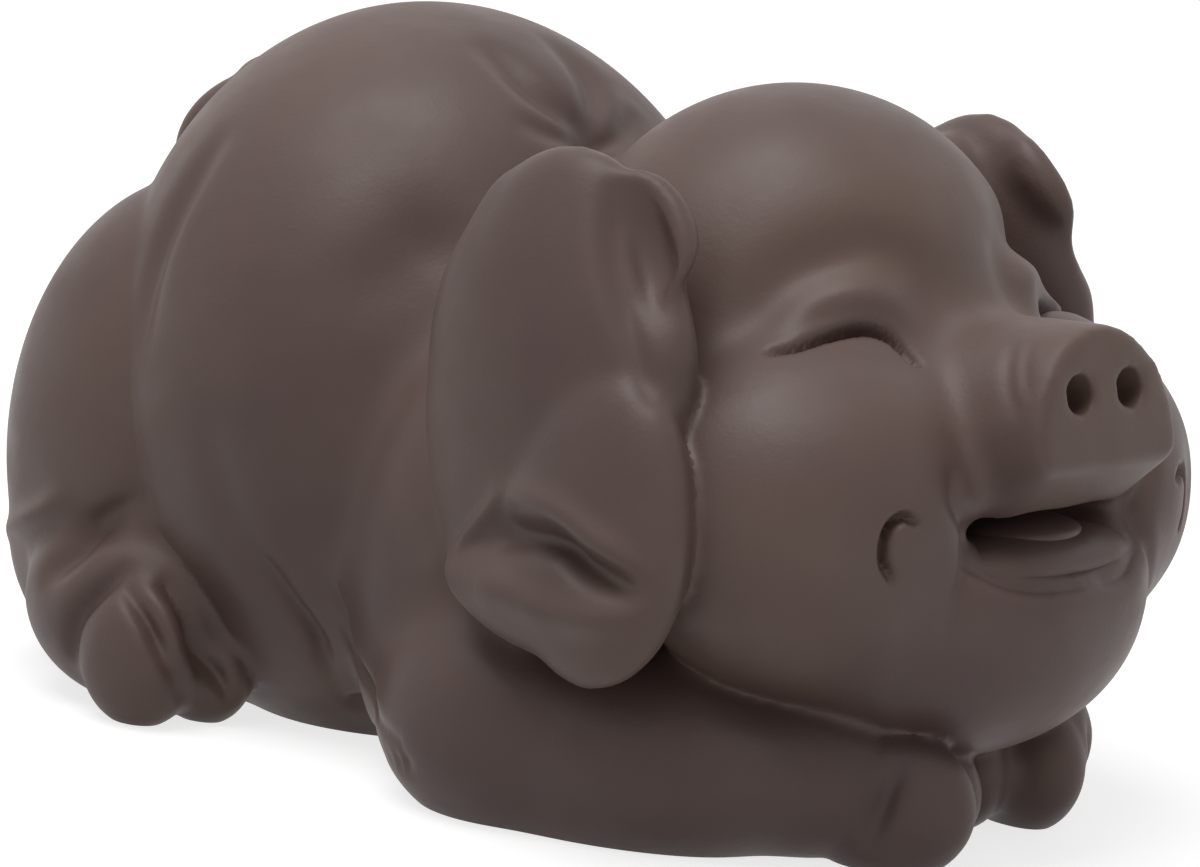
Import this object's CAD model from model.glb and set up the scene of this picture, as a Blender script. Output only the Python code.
"""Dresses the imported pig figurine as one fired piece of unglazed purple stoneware."""

from math import cos, radians, sin

import bmesh
import bpy
import numpy as np
from mathutils import Matrix, Vector
from mathutils.bvhtree import BVHTree
from mathutils.kdtree import KDTree


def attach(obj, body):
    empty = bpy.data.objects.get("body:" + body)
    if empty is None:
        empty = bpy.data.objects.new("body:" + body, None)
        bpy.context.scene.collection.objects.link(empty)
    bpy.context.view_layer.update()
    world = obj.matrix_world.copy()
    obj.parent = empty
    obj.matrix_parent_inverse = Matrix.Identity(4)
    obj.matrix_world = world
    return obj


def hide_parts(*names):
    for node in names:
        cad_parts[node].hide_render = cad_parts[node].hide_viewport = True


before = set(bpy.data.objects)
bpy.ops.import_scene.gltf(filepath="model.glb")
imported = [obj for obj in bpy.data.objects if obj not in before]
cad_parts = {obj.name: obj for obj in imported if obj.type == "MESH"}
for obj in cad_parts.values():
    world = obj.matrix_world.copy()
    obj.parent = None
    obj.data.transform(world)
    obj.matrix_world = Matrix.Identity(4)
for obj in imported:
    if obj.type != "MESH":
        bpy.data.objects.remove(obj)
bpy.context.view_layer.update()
bpy.ops.object.select_all(action="DESELECT")

# Viewpoint.
# The photographer looks at the pig's right cheek from a little above, with the camera tipped slightly
# to one side. The tool marks on the clay are placed through this same eye, by pixels of the photograph.
MM = 0.001
PHOTO_WIDTH, PHOTO_HEIGHT = 1200, 867
PHOTO_FOCAL = 5900
EYE_TURN, EYE_RISE, EYE_ROLL = radians(-50), radians(11), radians(4.5)
EYE_DISTANCE = 450 * MM
EYE_TARGET = Vector((-13.5, -9.5, 28)) * MM

eye_back = Vector((sin(EYE_TURN) * cos(EYE_RISE), -cos(EYE_TURN) * cos(EYE_RISE), sin(EYE_RISE)))
level_right = Vector((0, 0, 1)).cross(eye_back).normalized()
level_up = eye_back.cross(level_right)
eye_right = level_right * cos(EYE_ROLL) + level_up * sin(EYE_ROLL)
eye_up = eye_back.cross(eye_right)
eye_place = EYE_TARGET + eye_back * EYE_DISTANCE

lens = bpy.data.cameras.new("camera")
lens.sensor_width = 36
lens.lens = lens.sensor_width * PHOTO_FOCAL / PHOTO_WIDTH
camera = bpy.data.objects.new("camera", lens)
bpy.context.scene.collection.objects.link(camera)
eye_axes = Matrix((eye_right, eye_up, eye_back)).transposed().to_4x4()
camera.matrix_world = Matrix.Translation(eye_place) @ eye_axes
bpy.context.scene.camera = camera


# Torso.
# A hollow shell pressed from soft purple clay: a big belly ball with the loin above it, the shoulders in
# front and the rump behind, rubbed into one another while wet and fired without a glaze.
FINGER_GRAIN = 0.6 * MM
pieces = {}
tool_marks = []


def linear(code):
    """An sRGB hex colour as the linear colour that a shader takes."""
    parts = [int(code[i:i + 2], 16) / 255 for i in (1, 3, 5)]
    return [c / 12.92 if c <= 0.04045 else ((c + 0.055) / 1.055) ** 2.4 for c in parts] + [1]


def node(tree, kind, inputs, **settings):
    """Adds one node to a material, sets it and links what goes into it."""
    added = tree.nodes.new("ShaderNode" + kind)
    for name, value in settings.items():
        setattr(added, name, value)
    for name, value in inputs.items():
        if isinstance(value, bpy.types.NodeSocket):
            tree.links.new(value, added.inputs[name])
        else:
            added.inputs[name].default_value = value
    return added


def across(size):
    """The noise scale, per metre, that gives blotches about this many millimetres across."""
    return 1 / (size * MM)


# Unglazed purple stoneware, burnished with a horn tool before firing: a brown-purple body that is warmer and
# paler where the kiln flame reached it, fine sand in it, and a satin skin that hands have polished a little.
clay = bpy.data.materials.new("unglazed_purple_stoneware")
clay.use_nodes = True
shades = clay.node_tree
body_clay = shades.nodes["Principled BSDF"]
body_clay.inputs["IOR"].default_value = 1.4
place_on = node(shades, "TexCoord", {}).outputs["Object"]
flame = node(shades, "TexNoise", {"Vector": place_on, "Scale": across(24), "Detail": 3})
blush = node(shades, "ValToRGB", {"Fac": flame.outputs["Fac"]})
blush.color_ramp.elements[0].position = 0.36
blush.color_ramp.elements[0].color = linear("#5d4b48")
blush.color_ramp.elements[1].position = 0.66
blush.color_ramp.elements[1].color = linear("#6c5850")
# The sand is 0.1 mm in the real clay and drawn at 0.3 mm, so that it shows.
sand = node(shades, "TexNoise", {"Vector": place_on, "Scale": across(0.3), "Detail": 2})
speck = node(shades, "MapRange", {"Value": sand.outputs["Fac"], "From Min": 0.62, "From Max": 0.74,
                                  "To Min": 0, "To Max": 0.05})
speckled = node(shades, "Mix", {"Factor": speck.outputs["Result"], "A": blush.outputs["Color"],
                                "B": linear("#8b7f76")}, data_type="RGBA")
shades.links.new(speckled.outputs["Result"], body_clay.inputs["Base Color"])
rubbed = node(shades, "TexNoise", {"Vector": place_on, "Scale": across(7), "Detail": 4})
satin = node(shades, "MapRange", {"Value": rubbed.outputs["Fac"], "From Min": 0.3, "From Max": 0.7,
                                  "To Min": 0.4, "To Max": 0.56})
shades.links.new(satin.outputs["Result"], body_clay.inputs["Roughness"])
dents = node(shades, "Bump", {"Height": rubbed.outputs["Fac"], "Strength": 0.25, "Distance": 0.5 * MM})
grit = node(shades, "Bump", {"Height": sand.outputs["Fac"], "Strength": 0.18, "Distance": 0.1 * MM,
                             "Normal": dents.outputs["Normal"]})
shades.links.new(grit.outputs["Normal"], body_clay.inputs["Normal"])


def lump(size, place, tilt=(0, 0, 0)):
    """Adds one ball of clay, drawn out to its width, length and depth in millimetres."""
    bpy.ops.mesh.primitive_uv_sphere_add(
        segments=64, ring_count=32, radius=0.5, location=Vector(place) * MM,
        rotation=[radians(angle) for angle in tilt], scale=Vector(size) * MM,
    )
    bpy.ops.object.transform_apply()
    return bpy.context.object


def rub(piece, grain, strokes):
    """Works a piece into one even skin of clay and rubs it smooth."""
    bpy.context.view_layer.objects.active = piece
    skin = piece.modifiers.new("skin", "REMESH")
    skin.mode = "VOXEL"
    skin.voxel_size = grain
    bpy.ops.object.modifier_apply(modifier="skin")
    smooth = piece.modifiers.new("smooth", "SMOOTH")
    smooth.factor = 0.5
    smooth.iterations = strokes
    bpy.ops.object.modifier_apply(modifier="smooth")


def press(name, lumps, strokes, grain=FINGER_GRAIN):
    """Presses lumps of clay into the piece that stands for one node."""
    bpy.ops.object.select_all(action="DESELECT")
    for ball in lumps:
        ball.select_set(True)
    bpy.context.view_layer.objects.active = lumps[0]
    bpy.ops.object.join()
    piece = bpy.context.object
    piece.name = name + "_clay"
    rub(piece, grain, strokes)
    bpy.ops.object.shade_smooth()
    piece.data.materials.clear()
    piece.data.materials.append(clay)
    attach(piece, "root")
    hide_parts(name)
    pieces[name] = piece
    return piece


press("torso_shell", [
    lump((57, 50, 63), (0, 19.3, 25.1), (-12.5, 0, 0)),
    lump((44, 37, 42.5), (0, 25, 32.2)),
    lump((48, 38, 50), (0, -3.5, 19)),
    lump((46, 36, 50), (0, 28, 18)),
], 60)
tool_marks += [
    ([(490, 50), (530, 85), (570, 112), (610, 135)], 1.6, 1.0),
    ([(530, 125), (575, 138), (622, 146)], 1.2, 0.8),
    ([(470, 210), (430, 245), (370, 290)], 3.5, 0.9),
    ([(268, 570), (290, 603), (315, 637), (360, 702), (405, 762)], 0.8, 0.9),
    ([(337, 594), (350, 640), (363, 675), (397, 742)], 0.7, 0.7),
    ([(210, 440), (225, 500), (250, 560), (290, 620)], 2.0, 0.5),
    ([(215, 145), (180, 200), (152, 270), (140, 340)], 1.6, 0.9),
]


# Belly slab.
# A flat oval of clay that closes the belly from below, with a vent for the kiln's steam. It is plain and stays
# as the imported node, in the same clay.
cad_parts["base_slab"].data.materials.clear()
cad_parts["base_slab"].data.materials.append(clay)


# Head.
# A second pressed shell: a round skull, two fat cheeks and a heavy jowl. The eyes are slits cut under soft lids,
# and the smile is a bean-shaped dent at the end of each cheek. The mouth is scooped out under the snout.
def carve(piece, tool):
    """Scoops a tool's shape out of a piece of clay."""
    cut = piece.modifiers.new("cut", "BOOLEAN")
    cut.object = tool
    bpy.context.view_layer.objects.active = piece
    bpy.ops.object.modifier_apply(modifier="cut")
    bpy.data.objects.remove(tool)


head = press("head_shell", [
    lump((40, 37, 40), (0, -16.5, 35.5)),
    lump((31, 29, 28), (-12.5, -29, 25.5)),
    lump((31, 29, 28), (12.5, -29, 25.5)),
    lump((36, 32, 27), (0, -32, 19.5)),
    lump((18, 22, 14), (0, -33, 33.5), (-12, 0, 0)),
], 120)
mouth = ((19, 10, 3.4), (0, -40, 26.2))
carve(head, lump((33, 22, 7), (0, -50.5, 26)))
carve(head, lump(*mouth))
rub(head, FINGER_GRAIN, 14)
tool_marks += [
    ([(745, 318), (786, 279), (832, 258), (878, 248), (920, 272), (938, 318)], 2.3, 1.0),
    ([(788, 326), (812, 305), (847, 294), (878, 298), (905, 318)], 1.6, -0.7),
    ([(772, 351), (795, 347), (826, 336), (857, 329), (877, 331), (895, 341), (916, 362)], 0.4, 1.9),
    ([(918, 523), (906, 517), (894, 526), (888, 543), (887, 564), (893, 580)], 0.33, 1.9),
    ([(868, 515), (870, 545), (878, 575)], 2.5, 0.4),
    ([(953, 478), (957, 505), (966, 535), (969, 560), (962, 590)], 0.9, 0.6),
    ([(973, 563), (1007, 580), (1047, 587), (1087, 583)], 1.0, 0.9),
    ([(968, 575), (955, 613), (942, 640)], 0.8, 0.3),
]


# Snout.
# A tapered plug of clay, luted on above the mouth with its flat face turned a little upwards. The nostrils are
# pierced with a round stick, and the skin behind the face is wrinkled with a blade.
def plug(face, root, depth, place, tilt):
    """Adds one tapered plug of clay whose face looks forward and is tilted up."""
    bpy.ops.mesh.primitive_cone_add(
        vertices=96, radius1=0.5 * root[0] / face[0], radius2=0.5, depth=depth * MM, location=Vector(place) * MM,
        rotation=(radians(90 - tilt), 0, 0), scale=(face[0] * MM, face[1] * MM, 1),
    )
    bpy.ops.object.transform_apply()
    return bpy.context.object


round_plug = plug((17, 17), (21, 21), 15, (0, -40, 31.7), 12)
bpy.ops.object.mode_set(mode="EDIT")
bpy.ops.mesh.select_all(action="SELECT")
bpy.ops.mesh.bisect(plane_co=Vector((0, -47.5, 31.3)) * MM, plane_no=(0, -0.727, -0.687),
                    use_fill=True, clear_outer=True)
bpy.ops.object.mode_set(mode="OBJECT")
snout = press("snout", [round_plug], 3)
carve(snout, lump(*mouth))
for side in (-1, 1):
    carve(snout, lump((3.4, 8, 3), (side * 3.1, -46.5, 36.8), (-12, 0, 0)))
tool_marks += [
    ([(1012, 347), (1008, 383), (1016, 414)], 0.6, 0.2),
    ([(1030, 345), (1025, 372), (1028, 395)], 0.5, 0.15),
]


# Mouth.
# The lower lip is a thin roll of clay along the edge of the scooped mouth, and the tongue a small flat pad
# behind it.
press("lower_lip", [lump((22, 9, 4.8), (0, -41.1, 23.2))], 4, 0.3 * MM)
press("tongue", [lump((11, 8, 2.6), (0, -40, 25))], 4, 0.25 * MM)


# Ears.
# Broad flaps of clay luted to the sides of the skull, hanging down to the elbows. Each has a rolled front rim
# with a hollow behind it, and its tip is turned up into a pocket.
def look_at(clods):
    """What the eye can see: some pieces of clay, as one tree to look into."""
    heap = bmesh.new()
    for clod in clods:
        heap.from_mesh(clod.data)
    tree = BVHTree.FromBMesh(heap)
    heap.free()
    return tree


def on_clay(tree, pixels):
    """The places on the clay that the eye sees at some pixels of the photograph."""
    places = []
    for right, down in pixels:
        aim = eye_right * (right - PHOTO_WIDTH / 2) - eye_up * (down - PHOTO_HEIGHT / 2) - eye_back * PHOTO_FOCAL
        place = tree.ray_cast(eye_place, aim.normalized())[0]
        if place is not None:
            places.append(place)
    return np.array(places)


def curve_through(knots):
    """A smooth line of points through the knots."""
    steps = np.linspace(0, 1, 16, endpoint=False)[:, None]
    ends = np.vstack([2 * knots[0] - knots[1], knots, 2 * knots[-1] - knots[-2]])
    runs = []
    for a, b, c, d in zip(ends, ends[1:], ends[2:], ends[3:]):
        runs.append(0.5 * (2 * b + (c - a) * steps + (2 * a - 5 * b + 4 * c - d) * steps ** 2
                           + (3 * b - a - 3 * c + d) * steps ** 3))
    return np.vstack(runs + [knots[-1:]])


ear_rim = [(622, 168), (648, 190), (668, 224), (678, 258), (676, 290)]
# The left ear came out a little shorter, nearer to the head and leaning the other way. Millimetres and degrees.
ears = (
    ("right_ear", -1, 28.8, -5, 0, 0),
    ("left_ear", 1, 25.5, 5, 0.3, 2),
)
for name, side, lower, lean, back, short in ears:
    flap = [
        lump((10.5, 25 - short, 37.5 - short), (side * 25.3, back - 15.3, 33 + short / 2), (lean, -side * 5, 0)),
        lump((9, 18, 30), (side * 25, back - 11.5, 35), (lean, -side * 5, 0)),
        lump((12, 10, 16), (side * 20, -14, 42)),
        lump((7.5, 17, 24), (side * lower, back - 23, 25), (lean, -side * 5, 0)),
        lump((7.5, 21, 9), (side * (lower + 0.2), back - 19.5, 19), (4, -side * 5, 0)),
    ]
    if side < 0:
        rim = curve_through(on_clay(look_at([head] + flap), ear_rim)) / MM
    thick = 0.9 + 3.5 * np.sin(np.linspace(0, np.pi, len(rim)))
    rolled = [lump((d, d, d), (side * abs(x), y + back, z)) for d, (x, y, z) in list(zip(thick, rim))[::3]]
    press(name, flap + rolled, 6)
tool_marks += [
    ([(630, 200), (640, 235), (648, 270), (656, 305)], 2.6, 2.6),
    ([(612, 190), (606, 231), (609, 272), (620, 309), (634, 347), (652, 400)], 1.0, 0.6),
    ([(501, 492), (549, 506), (594, 541), (639, 574)], 1.2, -0.7),
    ([(508, 533), (549, 545), (579, 567), (624, 588)], 1.2, 2.3),
    ([(440, 560), (500, 590), (549, 610), (600, 618), (634, 612)], 1.5, -0.8),
    ([(499, 500), (480, 525), (460, 548)], 0.7, -0.8),
]


# Forelegs.
# A tapered roll of clay from the shoulder over the elbow to the wrist, folded under the head, with two pressed
# toes at its end.
for name, side, reach in (("right", -1, 37.8), ("left", 1, 34.8)):
    press(name + "_foreleg", [
        lump((17, 23, 38), (side * 18.5, -2.5, 16)),
        lump((19, 23, 19), (side * 22, -10, 7)),
        lump((17, 35, 17), (side * 20, -19, 6.2), (0, 0, -side * 20)),
        lump((13, 22, 13.5), (side * 12.8, -30.2, 6), (0, 0, -side * 25)),
    ], 80)
    press(name + "_fore_trotter", [
        lump((8.5, 14, 12), (side * 10.2, 0.5 - reach, 4.8), (0, 0, -side * 20)),
        lump((7, 12, 10.5), (side * 4.8, 2.8 - reach, 4.5), (0, 0, -side * 20)),
    ], 5)
tool_marks += [([(893, 775), (882, 805), (867, 845)], 1.0, 1.0)]


# Hind legs.
# A big lump for the thigh, a short roll for the shank folded under it and two pressed toes that show beside
# the belly.
for name, side in (("right", -1), ("left", 1)):
    press(name + "_haunch", [
        lump((29, 32.5, 44.5), (side * 13.8, 32.7, 19.3), (2, 0, 0)),
        lump((25, 26, 26), (side * 13.3, 36.2, 11.5)),
    ], 30)
    press(name + "_shank", [lump((16, 21, 16.5), (side * 22.5, 29.3, 8))], 2)
    press(name + "_hind_trotter", [
        lump((8.5, 11, 12.5), (side * 27.5, 24.2, 5.6)),
        lump((7, 9.5, 10), (side * 22.4, 22, 4.4)),
    ], 4)
tool_marks += [
    ([(10, 530), (36, 514), (62, 498)], 1.0, -0.8),
    ([(50, 572), (72, 550), (96, 527), (134, 503)], 1.4, 1.5),
    ([(72, 651), (76, 618), (96, 594), (122, 572)], 0.8, 1.1),
    ([(127, 589), (153, 632), (182, 697)], 0.8, 1.2),
    ([(167, 584), (196, 642), (229, 697)], 0.8, 1.3),
]


# Tail.
# One thin roll of clay, curled into an open ring and pressed on to the rear of the back.
bpy.ops.object.select_all(action="DESELECT")
bpy.ops.mesh.primitive_torus_add(
    major_segments=64, minor_segments=24, major_radius=3.4 * MM, minor_radius=2.1 * MM,
    location=Vector((0, 44.3, 42.3)) * MM, rotation=(radians(-64), 0, 0),
)
bpy.ops.object.transform_apply()
tail = press("tail", [bpy.context.object, lump((7, 7.5, 6), (0, 39.6, 46.6))], 3)
carve(tail, lump((2.4, 8, 5), (3.4, 44.6, 40)))


# Luting.
# The pieces are scored, stuck together with slip and rubbed over at the joints, and the folds and creases are
# drawn with a tool across the whole. Each piece then keeps its own share of that skin, closed at the joints.
SKIN_GRAIN = 0.33 * MM
VOTE_ROUNDS, OWN_VOTE = 12, 1.5
WEIGHT_STEPS = 20
STROKE_END = 0.15
# The lip and the tongue lie loose in the mouth and keep the shape they were pressed in.
names = [name for name in pieces if name not in ("lower_lip", "tongue")]


def numbers(mesh, items, key, width, kind=float):
    """One value of every vertex, corner or face of a mesh, as an array."""
    group = getattr(mesh, items)
    values = np.empty(len(group) * width, dtype=kind)
    group.foreach_get(key, values)
    return values.reshape(-1, width)


pressed = [numbers(pieces[name].data, "vertices", "co", 3) for name in names]
owner = np.concatenate([np.full(len(group), i) for i, group in enumerate(pressed)])
nearest = KDTree(len(owner))
for i, point in enumerate(np.concatenate(pressed)):
    nearest.insert(point, i)
nearest.balance()

luted = bmesh.new()
for name in names:
    luted.from_mesh(pieces[name].data)
skin_mesh = bpy.data.meshes.new("skin")
luted.to_mesh(skin_mesh)
luted.free()
skin = bpy.data.objects.new("skin", skin_mesh)
bpy.context.scene.collection.objects.link(skin)
rub(skin, SKIN_GRAIN, 8)

resting = numbers(skin.data, "vertices", "co", 3)
quads = numbers(skin.data, "loops", "vertex_index", 1, int).reshape(-1, 4)
# Each bit of skin belongs to the piece of clay that lies nearest under it.
share = np.array([owner[nearest.find(centre)[1]] for centre in resting[quads].mean(1)])
sides = np.sort(np.stack([quads, np.roll(quads, -1, axis=1)], axis=2).reshape(-1, 2), axis=1)
order = np.lexsort((sides[:, 1], sides[:, 0]))
beside = np.empty(len(order), dtype=int)
beside[order[0::2]] = order[1::2] // 4
beside[order[1::2]] = order[0::2] // 4
beside = beside.reshape(-1, 4)
for _ in range(VOTE_ROUNDS):
    votes = np.zeros((len(quads), len(names)))
    np.add.at(votes, (np.arange(len(quads)), share), OWN_VOTE)
    for column in beside.T:
        np.add.at(votes, (np.arange(len(quads)), share[column]), 1)
    share = votes.argmax(1)


def islands():
    """The unbroken patches of skin, each with the piece that it belongs to, largest first."""
    left, patches = np.ones(len(quads), dtype=bool), []
    for start in range(len(quads)):
        if left[start]:
            left[start] = False
            patch, edge = [start], [start]
            while edge:
                face = edge.pop()
                for other in beside[face]:
                    if left[other] and share[other] == share[face]:
                        left[other] = False
                        patch.append(other)
                        edge.append(other)
            patches.append(patch)
    return sorted(patches, key=len, reverse=True)


kept = set()
for patch in islands():
    if share[patch[0]] in kept:
        around = share[beside[patch].ravel()]
        around = around[around != share[patch[0]]]
        share[patch] = np.bincount(around).argmax() if len(around) else -1
    else:
        kept.add(share[patch[0]])

# The forelegs are rubbed right into the shoulders, and the joints of the hind legs are only softened.
soft_joints = [({"torso_shell", side + "_foreleg"}, 11, 400) for side in ("right", "left")]
soft_joints += [({side + "_haunch", side + "_shank", side + "_hind_trotter"}, 2.5, 40)
                for side in ("right", "left")]
soft_joints += [({"head_shell", "snout"}, 5, 120), ({"head_shell", "right_foreleg", "left_foreleg"}, 1.5, 25)]
for joined, reach, strokes in soft_joints:
    members = [names.index(name) for name in joined]
    inside = np.isin(share, members)
    crossing = inside[:, None] & inside[beside] & (share[:, None] != share[beside])
    seam = resting[quads[crossing.any(1)].ravel()]
    seam_tree = KDTree(len(seam))
    for i, point in enumerate(seam):
        seam_tree.insert(point, i)
    seam_tree.balance()
    touched = np.unique(quads[inside])
    gaps = np.full(len(resting), 1.0)
    gaps[touched] = [seam_tree.find(point)[2] for point in resting[touched]]
    group = skin.vertex_groups.new(name="joint")
    weights = np.round(np.clip(1 - gaps / (reach * MM), 0, 1) * WEIGHT_STEPS).astype(int)
    for step in range(1, WEIGHT_STEPS + 1):
        group.add(np.flatnonzero(weights == step).tolist(), step / WEIGHT_STEPS, "REPLACE")
    rubbed_joint = skin.modifiers.new("rubbed", "SMOOTH")
    rubbed_joint.factor = 0.5
    rubbed_joint.iterations = strokes
    rubbed_joint.vertex_group = group.name
    bpy.context.view_layer.objects.active = skin
    bpy.ops.object.modifier_apply(modifier="rubbed")
    skin.vertex_groups.clear()
resting = numbers(skin.data, "vertices", "co", 3)
outward = numbers(skin.data, "vertices", "normal", 3)

# A mark is pressed in by its depth, or drawn up where that is negative, and fades out at both ends. The left
# side of the pig has the marks of the right side, mirrored.
sunk = np.zeros(len(resting))
whole_pig = look_at([skin])
for pixels, width, depth in tool_marks:
    line = curve_through(on_clay(whole_pig, pixels))
    fade = np.sin(np.linspace(STROKE_END, np.pi - STROKE_END, len(line))) ** 0.5
    for mirrored in (line, line * (-1, 1, 1)):
        margin = 3 * width * MM
        reached = np.flatnonzero(np.all((resting > mirrored.min(0) - margin)
                                        & (resting < mirrored.max(0) + margin), axis=1))
        gaps = np.linalg.norm(resting[reached, None] - mirrored[None], axis=2)
        sunk[reached] += depth * MM * (fade * np.exp(-(gaps / (width * MM)) ** 2)).max(1)
marked = resting - outward * sunk[:, None]

for index, name in enumerate(names):
    faces = quads[share == index]
    used, faces = np.unique(faces, return_inverse=True)
    bare = bpy.data.meshes.new(name)
    bare.from_pydata(marked[used].tolist(), [], faces.reshape(-1, 4).tolist())
    soft = bmesh.new()
    soft.from_mesh(bare)
    for face in soft.faces:
        face.smooth = True
    for corner in list(soft.verts):
        rims = [edge for edge in corner.link_edges if edge.is_boundary]
        if len(rims) > 2:
            bmesh.utils.vert_separate(corner, rims)
    joint = [edge for edge in soft.edges if edge.is_boundary]
    for edge in joint:
        edge.smooth = False
    bmesh.ops.poke(soft, faces=bmesh.ops.holes_fill(soft, edges=joint, sides=0)["faces"])
    everything = soft.verts[:] + soft.edges[:] + soft.faces[:]
    bmesh.ops.bisect_plane(soft, geom=everything, plane_co=(0, 0, 0), plane_no=(0, 0, -1), clear_outer=True)
    ground = [edge for edge in soft.edges if edge.is_boundary]
    for edge in ground:
        edge.smooth = False
    bmesh.ops.holes_fill(soft, edges=ground, sides=0)
    bmesh.ops.recalc_face_normals(soft, faces=soft.faces)
    soft.to_mesh(bare)
    soft.free()
    bare.materials.append(clay)
    pieces[name].data = bare
bpy.data.objects.remove(skin)

# The belly is cut open for its slab, with a hair of room all round.
bpy.ops.object.select_all(action="DESELECT")
bpy.ops.mesh.primitive_cylinder_add(vertices=96, radius=0.5, depth=1, location=Vector((0, 20.5, 3)) * MM,
                                    scale=Vector((22.3, 30.3, 18)) * MM)
bpy.ops.object.transform_apply()
carve(pieces["torso_shell"], bpy.context.object)


# Studio.
# A sheet of paper to stand on, which shows white, weak daylight all round it and one wide soft lamp overhead. A
# white card on the paper throws light back up under the snout and the chin.
bpy.ops.object.select_all(action="DESELECT")
bpy.ops.mesh.primitive_plane_add(size=4)
floor = bpy.context.object
floor.name = "floor"
paper = bpy.data.materials.new("white_paper")
paper.use_nodes = True
sheet = paper.node_tree.nodes["Principled BSDF"]
sheet.inputs["Base Color"].default_value = linear("#bcbcbc")
sheet.inputs["Roughness"].default_value = 0.9
sheet.inputs["Emission Color"].default_value = (1, 1, 1, 1)
glimpse = node(paper.node_tree, "LightPath", {})
glance = node(paper.node_tree, "Math", {0: glimpse.outputs["Is Camera Ray"], 1: glimpse.outputs["Is Glossy Ray"]},
              operation="MAXIMUM")
glance = node(paper.node_tree, "Math", {0: glance.outputs["Value"], 1: glimpse.outputs["Is Transmission Ray"]},
              operation="MAXIMUM")
bleach = node(paper.node_tree, "Math", {0: glance.outputs["Value"], 1: 0.75}, operation="MULTIPLY")
paper.node_tree.links.new(bleach.outputs["Value"], sheet.inputs["Emission Strength"])
floor.data.materials.append(paper)

daylight = bpy.data.worlds.new("daylight")
bpy.context.scene.world = daylight
daylight.use_nodes = True
sky = daylight.node_tree.nodes["Background"]
sky.inputs["Color"].default_value = (1, 1, 1, 1)
path = node(daylight.node_tree, "LightPath", {})
shown = node(daylight.node_tree, "Math", {0: path.outputs["Is Camera Ray"], 1: path.outputs["Is Glossy Ray"]},
             operation="MAXIMUM")
shown = node(daylight.node_tree, "Math", {0: shown.outputs["Value"], 1: path.outputs["Is Transmission Ray"]},
             operation="MAXIMUM")
level = node(daylight.node_tree, "MapRange", {"Value": shown.outputs["Value"], "To Min": 0.25, "To Max": 1})
daylight.node_tree.links.new(level.outputs["Result"], sky.inputs["Strength"])
bpy.context.scene.view_settings.view_transform = "Standard"

bpy.ops.object.light_add(type="AREA", location=(-0.15, 0.05, 0.72))
lamp = bpy.context.object
lamp.name = "soft_lamp"
lamp.data.size = 0.5
lamp.data.energy = 3
lamp.rotation_euler = (-lamp.location).to_track_quat("-Z", "Y").to_euler()

bpy.ops.object.light_add(type="AREA", location=(-0.05, -0.16, 0.003), rotation=(radians(180), 0, 0))
card = bpy.context.object
card.name = "white_card"
card.data.size = 0.16
card.data.energy = 0.04
card.visible_camera = False
